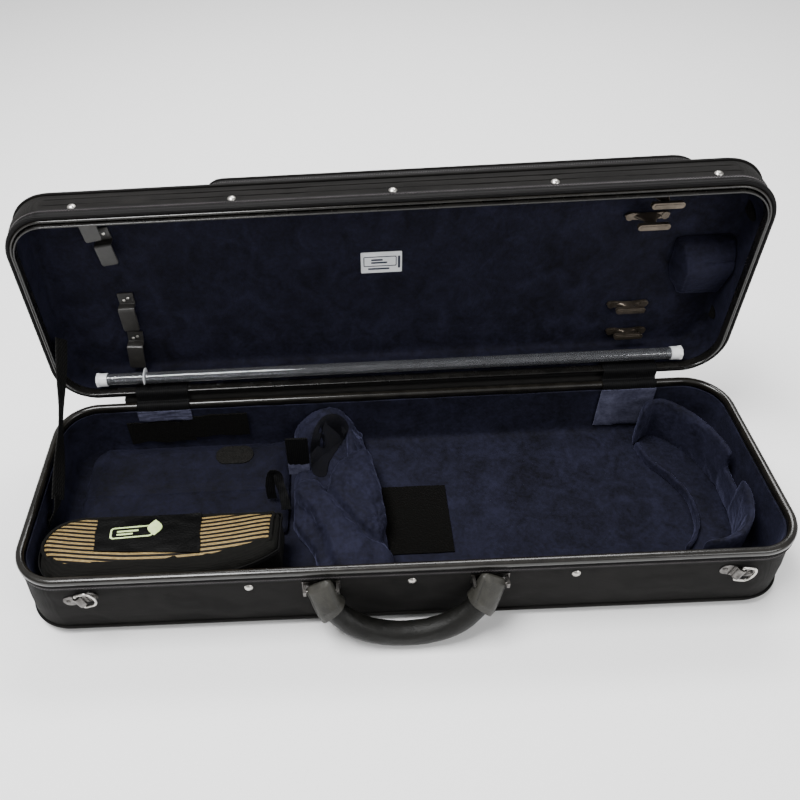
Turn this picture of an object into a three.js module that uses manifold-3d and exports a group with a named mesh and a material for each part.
// Oblong violin case, open, standing on its base. Millimetres, +Z up, +Y toward the hinge side.
// The origin is the centre of the base's underside.
import * as THREE from 'three';
import { mergeVertices } from 'three/addons/utils/BufferGeometryUtils.js';
import Module from 'manifold-3d';

const wasm = await Module();
wasm.setup();

// ---------- driving dimensions ----------

const LENGTH = 790;
const WIDTH = 250;
const BASE_HEIGHT = 98;
const LID_HEIGHT = 62;
const CORNER_RADIUS = 48;
const LID_OPEN_DEG = 91;
const HINGE_SETBACK = 3; // hinge line behind the back of the rims
const GAP = 0.3; // clearance between touching pieces

// the wall, as offsets inward from the rim's outer edge
const COVER_OFFSET = 3;
const COVER_WALL = 1.5;
const SHELL_WALL = 3;
const LINING_WALL = 1.6;
const SHELL_OFFSET = COVER_OFFSET + COVER_WALL + GAP;
const LINING_OFFSET = SHELL_OFFSET + SHELL_WALL + GAP;
const INSIDE_OFFSET = LINING_OFFSET + LINING_WALL;
const EDGE_ROUND = 9; // outer edge between the walls and the bottom or top

const RIM_WIDTH = 8.5;
const RIM_HEIGHT = 8.5;
const RIM_ROUND = 3.6;
const BASE_FLOOR = 20; // top of the padded floor
const LID_CEILING = 48; // depth of the lid's lining below the lid's mouth

const INSIDE_X = LENGTH / 2 - INSIDE_OFFSET;
const INSIDE_Y = WIDTH / 2 - INSIDE_OFFSET;
const WALL_Y = WIDTH / 2 - COVER_OFFSET; // outside of the fabric on the front
const HINGE_Y = WIDTH / 2 + HINGE_SETBACK;
const HINGE_Z = BASE_HEIGHT;

const RIVET_SPACING = 163;
const RIVET_SHIFT = 6.5; // the rivets sit a little to the right of the middle
const BASE_RIVET_Z = 72;
const LID_RIVET_DEPTH = 22;

const HANDLE_HALF_SPAN = 84;
const HANDLE_PIVOT_Y = -130.5;
const HANDLE_PIVOT_Z = 72;
const HANDLE_DROP = 57;
const HANDLE_REACH = 17.5;
const GRIP_RADIUS = 12.5;

// ---------- materials ----------

const standard = (color, roughness, metalness = 0) =>
  new THREE.MeshStandardMaterial({ color, roughness, metalness });

const coverFabric = standard(0x3a3b3c, 0.9);
const shellBoard = standard(0x8a6b45, 0.8);
const velvet = standard(0x1d1f38, 0.95);
const rimTrim = standard(0x4a4740, 0.4, 0.3);
const webbing = standard(0x121214, 0.85);
const hookTape = standard(0x17140f, 0.95);
const leather = standard(0x2c2c28, 0.55);
const nickel = standard(0x9a9792, 0.3, 0.9);
const darkNickel = standard(0x5c5a58, 0.35, 0.9);
const clipPlastic = standard(0x4c4b48, 0.5);
const bronze = standard(0x4a4038, 0.4, 0.6);
const clearPlastic = standard(0xdfe6ea, 0.1);
const whitePlastic = standard(0xf2f2f0, 0.4);
const stripedCloth = standard(0x8c7b4c, 0.8);

// ---------- solids ----------

const toSolid = (geometry) => {
  const bare = geometry.clone();
  bare.deleteAttribute('normal');
  bare.deleteAttribute('uv');
  const merged = mergeVertices(bare, 1e-4);
  return new wasm.Manifold(new wasm.Mesh({
    numProp: 3,
    vertProperties: new Float32Array(merged.attributes.position.array),
    triVerts: new Uint32Array(merged.index.array),
  }));
};

const toGeometry = (solid) => {
  const mesh = solid.getMesh();
  const geometry = new THREE.BufferGeometry();
  geometry.setAttribute('position', new THREE.BufferAttribute(mesh.vertProperties, 3));
  geometry.setIndex(new THREE.BufferAttribute(mesh.triVerts, 1));
  geometry.computeVertexNormals();
  return geometry;
};

const join = (...pieces) => toGeometry(pieces.map(toSolid).reduce((all, next) => all.add(next)));
const cut = (body, ...tools) =>
  toGeometry(tools.map(toSolid).reduce((left, tool) => left.subtract(tool), toSolid(body)));

const box = (x0, x1, y0, y1, z0, z1) =>
  new THREE.BoxGeometry(x1 - x0, y1 - y0, z1 - z0)
    .translate((x0 + x1) / 2, (y0 + y1) / 2, (z0 + z1) / 2);

const roundedRect = (halfX, halfY, radius, target = new THREE.Shape()) => {
  target.moveTo(halfX, -halfY + radius);
  target.absarc(halfX - radius, halfY - radius, radius, 0, Math.PI / 2, false);
  target.absarc(-halfX + radius, halfY - radius, radius, Math.PI / 2, Math.PI, false);
  target.absarc(-halfX + radius, -halfY + radius, radius, Math.PI, 1.5 * Math.PI, false);
  target.absarc(halfX - radius, -halfY + radius, radius, 1.5 * Math.PI, 2 * Math.PI, false);
  return target;
};

// the case's outline, moved inward by an offset
const outline = (offset, target) =>
  roundedRect(LENGTH / 2 - offset, WIDTH / 2 - offset, CORNER_RADIUS - offset, target);

// a shape raised from z0 to z1, with both its edges rounded by the bevel
const slab = (shape, z0, z1, bevel = 0, curveSegments = 4, bevelSegments = 1) =>
  new THREE.ExtrudeGeometry(shape, {
    depth: z1 - z0 - 2 * bevel,
    bevelEnabled: bevel > 0,
    bevelThickness: bevel,
    bevelSize: bevel,
    bevelOffset: -bevel,
    bevelSegments,
    curveSegments,
  }).translate(0, 0, z0 + bevel);

const ring = (outer, inner, z0, z1, bevel = 0) => {
  const shape = outline(outer);
  shape.holes.push(outline(inner, new THREE.Path()));
  return slab(shape, z0, z1, bevel);
};

// an open-topped tray between two offsets, rounded along its bottom edge outside and inside
const tray = (outer, wall, bottom, floor, top, round, innerRound = round - wall) => {
  const block = slab(outline(outer), bottom, top + EDGE_ROUND * 2, round, 4, 2);
  const hollow = slab(outline(outer + wall), floor, top + EDGE_ROUND * 3, innerRound, 4, 2);
  const above = box(-LENGTH, LENGTH, -WIDTH, WIDTH, top, top + EDGE_ROUND * 4);
  return cut(block, hollow, above);
};

// a flat shape drawn in (y, z), run along X
const runAlongX = (shape, x0, x1, curveSegments = 6) =>
  new THREE.ExtrudeGeometry(shape, { depth: x1 - x0, bevelEnabled: false, curveSegments })
    .applyMatrix4(new THREE.Matrix4().makeBasis(
      new THREE.Vector3(0, 1, 0), new THREE.Vector3(0, 0, 1), new THREE.Vector3(1, 0, 0)))
    .translate(x0, 0, 0);

const polygon = (points) => new THREE.Shape(points.map(([a, b]) => new THREE.Vector2(a, b)));

// a band of even width along a smooth line through the points
const band = (points, width, steps = 16) => {
  const line = new THREE.SplineCurve(points.map(([a, b]) => new THREE.Vector2(a, b)));
  const left = [];
  const right = [];
  for (let i = 0; i <= steps; i += 1) {
    const at = line.getPoint(i / steps);
    const along = line.getTangent(i / steps);
    const across = new THREE.Vector2(-along.y, along.x).multiplyScalar(width / 2);
    left.push(at.clone().add(across));
    right.unshift(at.clone().sub(across));
  }
  return new THREE.Shape([...left, ...right]);
};

// a thin strip whose edge view in (y, z) follows straight runs between the points
const strip = (points, thickness, x0, x1) => {
  const at = points.map(([y, z]) => new THREE.Vector2(y, z));
  const side = (sign) => at.map((point, i) => {
    const before = at[Math.max(i - 1, 0)];
    const after = at[Math.min(i + 1, at.length - 1)];
    const inDirection = point.clone().sub(before).normalize();
    const outDirection = after.clone().sub(point).normalize();
    const along = inDirection.add(outDirection).normalize();
    const across = new THREE.Vector2(-along.y, along.x);
    return point.clone().addScaledVector(across, sign * thickness / 2);
  });
  return runAlongX(new THREE.Shape([...side(1), ...side(-1).reverse()]), x0, x1);
};

const cylinderAlong = (axis, radius, length, sides = 16) => {
  const geometry = new THREE.CylinderGeometry(radius, radius, length, sides);
  if (axis === 'x') geometry.rotateZ(Math.PI / 2);
  if (axis === 'z') geometry.rotateX(Math.PI / 2);
  return geometry;
};

// ---------- scene graph ----------

const violinCase = new THREE.Group();
const lidOpen = THREE.MathUtils.degToRad(LID_OPEN_DEG);

// The lid is drawn closed, mouth down at z = 0, and swung open about the hinge line.
const lidHinge = new THREE.Group();
lidHinge.position.set(0, HINGE_Y, HINGE_Z);
lidHinge.rotation.x = -lidOpen;
const lid = new THREE.Group();
lid.position.y = -HINGE_Y;
lidHinge.add(lid);
violinCase.add(lidHinge);

// the world (y, z) of a point in the open lid, from its distance from the hinge line and its depth
const inOpenLid = (reach, depth) => [
  HINGE_Y - reach * Math.cos(lidOpen) + depth * Math.sin(lidOpen),
  HINGE_Z + reach * Math.sin(lidOpen) + depth * Math.cos(lidOpen),
];

const addTo = (group) => (name, geometry, material, x = 0, y = 0, z = 0) => {
  const mesh = new THREE.Mesh(geometry, material.clone());
  mesh.name = name;
  mesh.position.set(x, y, z);
  group.add(mesh);
  return mesh;
};
const addToCase = addTo(violinCase);
const addToLid = addTo(lid);

// ---------- base: cover, shell, lining and rim ----------

const rimBottom = BASE_HEIGHT - RIM_HEIGHT;

function addBaseWalls() {
  const top = rimBottom - GAP;
  const shellBottom = COVER_WALL + GAP;
  const liningBottom = shellBottom + SHELL_WALL + GAP;
  addToCase('base_cover', tray(COVER_OFFSET, COVER_WALL, 0, COVER_WALL, top, EDGE_ROUND), coverFabric);
  addToCase('base_shell', tray(SHELL_OFFSET, SHELL_WALL, shellBottom, shellBottom + SHELL_WALL,
    top, EDGE_ROUND - COVER_WALL), shellBoard);
  addToCase('base_lining', tray(LINING_OFFSET, LINING_WALL, liningBottom, BASE_FLOOR,
    top, EDGE_ROUND - COVER_WALL - SHELL_WALL, 0), velvet);
  addToCase('base_rim', ring(0, RIM_WIDTH, rimBottom, BASE_HEIGHT, RIM_ROUND), rimTrim);
}

// ---------- lid: cover, shell, lining and rim with its sealing lip ----------

const LIP_OFFSET = RIM_WIDTH + 0.8;
const LIP_WIDTH = 2.2;
const LIP_DROP = 3;
const LID_FACE = 0.4; // the lid's rim stops just short of the base's

// a tray turned over, so that its mouth points down
const lidTray = (outer, wall, top, ceiling, ...rounds) => {
  const mouth = LID_HEIGHT - RIM_HEIGHT - LID_FACE - GAP;
  return tray(outer, wall, LID_HEIGHT - top, LID_HEIGHT - ceiling, mouth, ...rounds)
    .rotateX(Math.PI)
    .translate(0, 0, LID_HEIGHT);
};

function addLidWalls() {
  const shellTop = LID_HEIGHT - COVER_WALL - GAP;
  const liningTop = shellTop - SHELL_WALL - GAP;
  addToLid('lid_cover', lidTray(COVER_OFFSET, COVER_WALL, LID_HEIGHT, LID_HEIGHT - COVER_WALL,
    EDGE_ROUND), coverFabric);
  addToLid('lid_shell', lidTray(SHELL_OFFSET, SHELL_WALL, shellTop, shellTop - SHELL_WALL,
    EDGE_ROUND - COVER_WALL), shellBoard);
  addToLid('lid_lining', lidTray(LINING_OFFSET, LINING_WALL, liningTop, LID_CEILING,
    EDGE_ROUND - COVER_WALL - SHELL_WALL, 0), velvet);
  const trim = ring(0, RIM_WIDTH, LID_FACE, LID_FACE + RIM_HEIGHT, RIM_ROUND);
  const lip = ring(LIP_OFFSET, LIP_OFFSET + LIP_WIDTH, -LIP_DROP, LID_FACE + RIM_HEIGHT - 1);
  const web = ring(RIM_WIDTH - 2, LIP_OFFSET + 1, LID_FACE + 4, LID_FACE + RIM_HEIGHT - 2.5);
  addToLid('lid_rim', join(trim, web, lip), rimTrim);
}

// ---------- zip tapes, rivets, sliders and their pulls ----------

const TAPE_THICKNESS = 2;
const TAPE_HEIGHT = 7.5;
const TAPE_END_Y = 92; // the zip stops before the hinge

// the zip tape runs round the front and the ends, outside the cover
const zipTape = (z0, z1) => cut(
  ring(COVER_OFFSET - GAP - TAPE_THICKNESS, COVER_OFFSET - GAP, z0, z1),
  box(-LENGTH, LENGTH, TAPE_END_Y, WIDTH, z0 - 1, z1 + 1),
);

function addZipTapes() {
  const baseTop = rimBottom - GAP;
  const lidBottom = LID_FACE + RIM_HEIGHT + GAP;
  addToCase('base_zip_tape', zipTape(baseTop - TAPE_HEIGHT, baseTop), webbing);
  addToLid('lid_zip_tape', zipTape(lidBottom, lidBottom + TAPE_HEIGHT), webbing);
}

// a domed head that points out of the front wall
const domedRivet = () => {
  const profile = [[0, 0], [4.2, 0], [4.2, 0.7], [3, 1.9], [1.5, 2.5], [0, 2.7]];
  return new THREE.LatheGeometry(profile.map(([r, h]) => new THREE.Vector2(r, h)), 12)
    .rotateX(Math.PI);
};

function addRivets() {
  const frontFace = -WALL_Y - GAP;
  ['left', 'centre', 'right'].forEach((side, i) => {
    addToCase(`base_rivet_${side}`, domedRivet(), nickel, (i - 1) * RIVET_SPACING + RIVET_SHIFT,
      frontFace, BASE_RIVET_Z);
  });
  for (let i = 0; i < 5; i += 1) {
    addToLid(`lid_rivet_${i + 1}`, domedRivet(), nickel, (i - 2) * RIVET_SPACING + RIVET_SHIFT,
      frontFace, LID_RIVET_DEPTH);
  }
}

const PULL_PIVOT_Z = 82;
const PULL_LENGTH = 24;

// zip sliders parked at the back of each end, each with a hanging pull
function addZipSliders() {
  const y = TAPE_END_Y - 8;
  const inner = LENGTH / 2 - COVER_OFFSET + GAP + TAPE_THICKNESS + GAP;
  const pivot = 4.8;
  ['left', 'right'].forEach((side, i) => {
    const outward = i === 0 ? -1 : 1;
    const body = box(-1.5, 1.5, -4.5, 4.5, -4, 4).translate(outward * 1.5, 0, 0);
    const lugs = [-1, 1].map((end) =>
      box(-1.8, 1.8, -0.6, 0.6, -1.4, 1.4).translate(outward * 4.2, end * 3.9, 0));
    addToCase(`zip_slider_${side}`, join(body, ...lugs), darkNickel, outward * inner, y, PULL_PIVOT_Z);
    const knuckle = new THREE.CylinderGeometry(1.3, 1.3, 6, 8);
    const plate = slab(roundedRect(PULL_LENGTH / 2, 3, 2.9), -0.7, 0.7, 0, 3)
      .rotateY(Math.PI / 2).translate(0, 0, -PULL_LENGTH / 2);
    addToCase(`zip_pull_${side}`, join(knuckle, plate), darkNickel, outward * (inner + pivot), y,
      PULL_PIVOT_Z);
  });
}

// ---------- carrying handle and shoulder-strap rings ----------

function addHandle() {
  const gripCentreY = HANDLE_PIVOT_Y - HANDLE_REACH;
  const gripCentreZ = HANDLE_PIVOT_Z - HANDLE_DROP;
  const barRadius = 2;
  const knuckleRadius = 5.2;
  const tabHalf = 13;
  // the tabs lean in towards the grip
  const lean = (outward) => new THREE.Matrix4().set(
    1, 0, outward * 0.42, 0, 0, 1, 0, 0, 0, 0, 1, 0, 0, 0, 0, 1);
  ['left', 'right'].forEach((side, i) => {
    const outward = i === 0 ? -1 : 1;
    const x = outward * HANDLE_HALF_SPAN;
    const toWall = -WALL_Y - GAP - HANDLE_PIVOT_Y;
    const plate = box(-19, 19, toWall - 1.6, toWall, -7.5, 7.5);
    const ears = [-1, 1].map((end) =>
      box(end * 16.5 - 1.5, end * 16.5 + 1.5, -3, toWall - 0.5, -3.5, 3.5));
    const bar = cylinderAlong('x', barRadius, 33, 12);
    addToCase(`handle_anchor_${side}`, join(plate, bar, ...ears), darkNickel, x, HANDLE_PIVOT_Y,
      HANDLE_PIVOT_Z);

    const knuckle = cylinderAlong('x', knuckleRadius, 2 * tabHalf, 16);
    const leaf = runAlongX(polygon([[-5, 2], [-12.5, -24], [-9.5, -27], [2, -24], [5, -2]]),
      -tabHalf, tabHalf).applyMatrix4(lean(outward));
    const bore = cylinderAlong('x', barRadius + 0.5, 40, 16);
    addToCase(`handle_tab_${side}`, cut(join(knuckle, leaf), bore), leather, x, HANDLE_PIVOT_Y,
      HANDLE_PIVOT_Z);
  });

  const arch = [[70.5, 0.45], [61.5, 0.63], [46.8, 0.82], [25.5, 0.95]]; // half spans and shares of the drop
  const route = new THREE.CatmullRomCurve3([
    ...arch.map(([x, share]) => [-x, share]), [0, 1], ...[...arch].reverse(),
  ].map(([x, share]) => new THREE.Vector3(
    x,
    THREE.MathUtils.lerp(HANDLE_PIVOT_Y, gripCentreY, share),
    THREE.MathUtils.lerp(HANDLE_PIVOT_Z, gripCentreZ, share),
  )));
  const section = new THREE.Shape().absarc(0, 0, GRIP_RADIUS, 0, 2 * Math.PI, false);
  const bareGrip = new THREE.ExtrudeGeometry(section, {
    steps: 16, extrudePath: route, bevelEnabled: false, curveSegments: 6,
  });
  const tabRoom = [-1, 1].map((end) => runAlongX(
    polygon([[-20, 2], [-20, -27.6], [-8, -27.6], [6, -23.6], [8, -2]]),
    -30, 30,
  ).applyMatrix4(lean(end)).translate(end * HANDLE_HALF_SPAN, HANDLE_PIVOT_Y, HANDLE_PIVOT_Z));
  addToCase('handle_grip', cut(bareGrip, ...tabRoom), leather);
}

const STRAP_POINTS = [
  { side: 'left', x: -327, tilt: -0.3 },
  { side: 'right', x: 330, tilt: 0.25 },
];
const RING_Z = 66;
const RING_STANDOFF = 4.6; // from the plate's back to the ring's straight side

function addStrapRings() {
  const wire = 1.4;
  STRAP_POINTS.forEach(({ side, x, tilt }) => {
    const fitting = new THREE.Group();
    fitting.position.set(x, -WALL_Y - GAP, RING_Z);
    fitting.rotation.y = tilt;
    violinCase.add(fitting);
    const add = addTo(fitting);

    // drawn flat with y as height, then stood against the front wall
    const stand = (geometry) => geometry.rotateX(Math.PI / 2);
    const plate = stand(slab(roundedRect(19, 7.5, 7.4), 0, 1.6, 0, 5));
    const bridge = box(-4.5, 4.5, -RING_STANDOFF - wire - 1.6, -0.8, -8, 8);
    const tunnel = box(-2.1, 2.1, -RING_STANDOFF - 2.1, -RING_STANDOFF + 2.1, -9, 9);
    add(`strap_plate_${side}`, cut(join(plate, bridge), tunnel), darkNickel);

    const wireSection = new THREE.Shape().absarc(0, 0, wire, 0, 2 * Math.PI, false);
    const loop = new THREE.CurvePath();
    const reach = 9;
    const half = 10.5;
    const bow = [];
    for (let i = 0; i <= 8; i += 1) {
      const angle = Math.PI / 2 - (i / 8) * Math.PI;
      bow.push(new THREE.Vector3(reach + 7 * Math.cos(angle), 0, half * Math.sin(angle)));
    }
    loop.add(new THREE.CatmullRomCurve3([
      new THREE.Vector3(0, 0, 0), new THREE.Vector3(0, 0, half * 0.5), new THREE.Vector3(0, 0, half * 0.9),
      new THREE.Vector3(1.5, 0, half), ...bow, new THREE.Vector3(1.5, 0, -half),
      new THREE.Vector3(0, 0, -half * 0.9), new THREE.Vector3(0, 0, -half * 0.5),
    ], true));
    const wireLoop = new THREE.ExtrudeGeometry(wireSection, {
      steps: 26, extrudePath: loop.curves[0], bevelEnabled: false, curveSegments: 4,
    });
    add(`strap_ring_${side}`, join(wireLoop, cylinderAlong('z', wire, 4, 8)), nickel, 0, -RING_STANDOFF, 0);
  });
}

// ---------- padding inside the base ----------

const PAD_BOTTOM = BASE_FLOOR + GAP;
const PAD_BACK = INSIDE_Y - 0.5;
const SCROLL_PAD_TOP = 35;
const SCROLL_PAD_STEP_Y = 40;

function addScrollPad() {
  const plan = new THREE.Shape();
  plan.moveTo(-368, -26);
  plan.lineTo(-122, -26);
  plan.lineTo(-122, PAD_BACK);
  plan.lineTo(-338, PAD_BACK);
  plan.absarc(-338, PAD_BACK - 30, 30, Math.PI / 2, Math.PI, false);
  plan.closePath();
  const step = box(-400, -100, -60, SCROLL_PAD_STEP_Y, SCROLL_PAD_TOP - 3, SCROLL_PAD_TOP + 5);
  addToCase('scroll_pad', cut(slab(plan, PAD_BOTTOM, SCROLL_PAD_TOP), step), velvet);
}

const CRADLE_SADDLE = 42;

// the neck cradle: a saddle for the neck between a tall back horn and a long front lobe
function addNeckCradle() {
  const back = PAD_BACK;
  const front = -back;
  const saddle = slab(polygon([
    [-118, -24], [-92, -60], [-78, front], [-20, front], [-4, -80], [-30, -50], [-50, -26], [-40, 30],
    [-24, 70], [-24, back], [-118, back],
  ]), PAD_BOTTOM, CRADLE_SADDLE);
  const arch = new THREE.Shape();
  arch.moveTo(-118, PAD_BOTTOM + 1);
  arch.lineTo(-117, 56);
  arch.quadraticCurveTo(-102, 90, -70, 91);
  arch.quadraticCurveTo(-36, 80, -25, PAD_BOTTOM + 1);
  const horn = new THREE.ExtrudeGeometry(arch, { depth: 34, bevelEnabled: false, curveSegments: 8 })
    .rotateX(Math.PI / 2).translate(0, back, 0);
  const frontLobe = slab(polygon([
    [-118, -24], [-92, -60], [-78, front], [-28, front], [-8, -82], [-30, -54], [-52, -28], [-72, 0],
    [-88, 26], [-112, 24],
  ]), PAD_BOTTOM + 1, 63);
  const sideLobe = slab(polygon([
    [-76, 22], [-60, 14], [-44, 24], [-26, 60], [-26, 84], [-44, 84], [-66, 58],
  ]), PAD_BOTTOM + 1, 64);
  addToCase('neck_cradle', join(saddle, horn, frontLobe, sideLobe), velvet);
  addToCase('neck_strap', box(-123, -97, 53, 55.4, CRADLE_SADDLE + GAP, 95), webbing);
}

// the lower-bout cradle: a crescent pad with a tall outer wall and a low inner lip
const BOUT_WALL_LINE = [[298, 86], [303, 95], [312, 101], [323, 102], [341, 90], [356, 70], [367, 45],
  [373.5, 16], [373, -14], [370, -44], [360, -70], [343, -88], [325, -96], [304, -100]];
const BOUT_LIP_LINE = [[298, 84], [304, 58], [324, 28], [334, -8], [330, -40], [306, -70]];

function addBoutCradle() {
  const smooth = (points, steps) =>
    new THREE.SplineCurve(points.map(([x, y]) => new THREE.Vector2(x, y))).getPoints(steps);
  const floorPlan = new THREE.Shape([...smooth(BOUT_WALL_LINE, 22), ...smooth(BOUT_LIP_LINE, 12).reverse()]);
  const floor = slab(floorPlan, PAD_BOTTOM, 26);
  const wall = slab(band(BOUT_WALL_LINE, 9, 26), PAD_BOTTOM, 84);
  const lip = slab(band(BOUT_LIP_LINE, 5, 14), PAD_BOTTOM, 33);
  const notch = box(360, 390, -18, 12, 61, 90);
  addToCase('bout_cradle', cut(join(floor, wall, lip), notch), velvet);
}

function addHookTapes() {
  addToCase('hook_strip', box(-320, -172, INSIDE_Y - 2.3, INSIDE_Y - GAP, 37, 80), hookTape);
  addToCase('floor_patch', box(-18, 61, -57, 37, BASE_FLOOR + GAP, BASE_FLOOR + 2), hookTape);
}

// ---------- accessory pouch in the front left of the base ----------

const POUCH_TOP = 82;

function addPouch() {
  const plan = new THREE.Shape();
  plan.moveTo(-336, -111);
  plan.lineTo(-230, -111);
  plan.quadraticCurveTo(-160, -107, -128, -79);
  plan.lineTo(-126, -34);
  plan.lineTo(-336, -31);
  plan.quadraticCurveTo(-377, -34, -379, -70);
  plan.quadraticCurveTo(-378, -108, -336, -111);
  addToCase('accessory_pouch', slab(plan, PAD_BOTTOM, POUCH_TOP, 5, 6), stripedCloth);
}

// ---------- straps and the fabric hinge ----------

const STRAP_THICKNESS = 1;

// flat straps inside the case, over both rims, from the lid's lining to the base's
function addHingeStraps() {
  const lipReach = HINGE_SETBACK + LIP_OFFSET + LIP_WIDTH + 0.9;
  const rimInner = WIDTH / 2 - RIM_WIDTH;
  const overRims = (lowEnd) => [
    inOpenLid(lipReach, 16), inOpenLid(lipReach, -2.8), inOpenLid(lipReach - 1.2, -4), inOpenLid(4, -4),
    [HINGE_Y - 5.4, HINGE_Z + 1], [rimInner + 0.6, HINGE_Z + 1], [rimInner - 0.9, HINGE_Z - 1],
    [INSIDE_Y - 0.9, rimBottom - 1], [INSIDE_Y - 0.9, lowEnd],
  ];
  addToCase('hinge_strap_left', strip(overRims(81.5), STRAP_THICKNESS, -301, -240), webbing);
  addToCase('hinge_strap_right', strip(overRims(37), STRAP_THICKNESS, 256, 317), webbing);
}

function addHingeBand() {
  const rimBack = WIDTH / 2 + 0.9;
  const coverBack = WALL_Y + 0.95;
  const coverReach = HINGE_SETBACK + COVER_OFFSET - 0.95;
  const points = [
    [coverBack, 62], [coverBack, rimBottom - 1.6], [rimBack, rimBottom], [rimBack, HINGE_Z - 1.5],
    [HINGE_Y - 0.6, HINGE_Z + 1.2], inOpenLid(HINGE_SETBACK - 0.9, 2), inOpenLid(HINGE_SETBACK - 0.9, 10.4),
    inOpenLid(coverReach, 12.4), inOpenLid(coverReach, 38),
  ];
  addToCase('hinge_band', strip(points, 1.2, -318, 318), coverFabric);
}

// webbing that stops the lid just past upright
const STAY_X = -372;

function addStayStrap() {
  const [topY, topZ] = inOpenLid(92, 8);
  const bottomY = -10;
  const bottomZ = 84;
  const length = Math.hypot(topY - bottomY, topZ - bottomZ);
  const lean = Math.atan2(topZ - bottomZ, topY - bottomY);
  const stay = addToCase('stay_strap', new THREE.BoxGeometry(1.6, length, 20), webbing,
    STAY_X, (topY + bottomY) / 2, (topZ + bottomZ) / 2);
  stay.rotation.x = lean;
}

// ---------- bow holders, string tube and end block in the lid ----------

const CEILING = LID_CEILING - GAP;
const reachToY = (reach) => HINGE_Y - reach; // distance from the hinge line to lid plan y

// reach is where the riser stands, and lean turns the free end towards the lid's right
const TIP_CLIPS = [
  { x: -315, reach: 226, length: 25, lean: 8 }, { x: -304.5, reach: 195.5, length: 25, lean: 8 },
  { x: -298.5, reach: 109.5, length: 31, lean: 1 }, { x: -300.5, reach: 53.5, length: 32, lean: -5 },
];

// stepped brackets: a screwed foot, a riser and a tab that holds the bow's tip
function addTipClips() {
  TIP_CLIPS.forEach(({ x, reach, length, lean }, i) => {
    const foot = box(-9, 9, -15, 1, -2.2, 0);
    const riser = box(-9.5, 9.5, -1, 1.4, -13.2, 0);
    const tab = box(-9.5, 9.5, -1, length, -13.4, -11);
    const clip = join(foot, riser, tab).rotateZ(-lean * Math.PI / 180);
    addToLid(`tip_clip_${i + 1}`, clip, clipPlastic, x, reachToY(reach), CEILING);
  });
}

const SPINNERS = [
  { x: 288, reach: 220.5, standoff: 30 }, { x: 282, reach: 192, standoff: 24 },
  { x: 285, reach: 74, standoff: 14 }, { x: 291, reach: 33.5, standoff: 12 },
];
const SPINNER_BAR = { half: 17, width: 7, height: 5 };

function addSpinners() {
  SPINNERS.forEach(({ x, reach, standoff }, i) => {
    const neckEnd = standoff - SPINNER_BAR.height / 2 - GAP;
    const ears = slab(roundedRect(24, 6, 5.9), -3, 0, 0, 4);
    const web = polygon([[-15, -2], [15, -2], [8, -neckEnd * 0.5], [3.8, -neckEnd], [-3.8, -neckEnd],
      [-8, -neckEnd * 0.5]]);
    const neck = runAlongX(web, -3, 3).rotateZ(Math.PI / 2);
    addToLid(`spinner_base_${i + 1}`, join(ears, neck), bronze, x, reachToY(reach), CEILING);
    const bar = slab(
      roundedRect(SPINNER_BAR.half, SPINNER_BAR.width / 2, 3.4), -SPINNER_BAR.height / 2,
      SPINNER_BAR.height / 2, 0, 3);
    addToLid(`spinner_bar_${i + 1}`, bar, bronze, x, reachToY(reach), CEILING - standoff);
  });
}

const TUBE_REACH = 26;
const TUBE_DEPTH = 9.5;
const TUBE_HALF = 334;

function addStringTube() {
  const y = reachToY(TUBE_REACH);
  addToLid('string_tube', cylinderAlong('x', 7, 2 * TUBE_HALF, 16), clearPlastic, 0, y, TUBE_DEPTH);
  ['left', 'right'].forEach((side, i) => {
    const outward = i === 0 ? -1 : 1;
    const cap = cylinderAlong('x', 8, 12, 16);
    const flange = cylinderAlong('x', 8.8, 3, 8).translate(outward * 5.5, 0, 0);
    addToLid(`tube_cap_${side}`, join(cap, flange), whitePlastic,
      outward * (TUBE_HALF + GAP + 6), y, TUBE_DEPTH);
  });
}

function addEndBlock() {
  const section = polygon([
    [reachToY(87), CEILING], [reachToY(90), 37], [reachToY(127), 22], [reachToY(141), 22],
    [reachToY(166), 36], [reachToY(171), CEILING],
  ].reverse());
  addToLid('end_block', runAlongX(section, 319, INSIDE_X - 0.5), velvet);
}

function addLabel() {
  addToLid('label_plate', box(-27, 19, reachToY(163), reachToY(136), CEILING - 0.8, CEILING), whitePlastic);
}

// ---------- music pocket outside the lid ----------

const POCKET = { x0: -193, x1: 348, y0: -116, y1: 96, thickness: 22 };

function addMusicPocket() {
  const halfX = (POCKET.x1 - POCKET.x0) / 2;
  const halfY = (POCKET.y1 - POCKET.y0) / 2;
  const outside = LID_HEIGHT + GAP;
  const wide = 40; // the corners at the right end are rounder than those at the left
  const tight = 20;
  const plan = new THREE.Shape().moveTo(halfX, -halfY + wide)
    .absarc(halfX - wide, halfY - wide, wide, 0, Math.PI / 2, false)
    .absarc(-halfX + tight, halfY - tight, tight, Math.PI / 2, Math.PI, false)
    .absarc(-halfX + tight, -halfY + tight, tight, Math.PI, 1.5 * Math.PI, false)
    .absarc(halfX - wide, -halfY + wide, wide, 1.5 * Math.PI, 2 * Math.PI, false);
  const pocket = slab(plan, outside, LID_HEIGHT + POCKET.thickness, 8, 4, 2);
  addToLid('music_pocket', pocket, coverFabric, (POCKET.x0 + POCKET.x1) / 2, (POCKET.y0 + POCKET.y1) / 2);
}

addBaseWalls();
addLidWalls();
addZipTapes();
addRivets();
addZipSliders();
addHandle();
addStrapRings();
addScrollPad();
addNeckCradle();
addBoutCradle();
addHookTapes();
addPouch();
addHingeStraps();
addHingeBand();
addStayStrap();
addTipClips();
addSpinners();
addStringTube();
addEndBlock();
addLabel();
addMusicPocket();

export default violinCase;
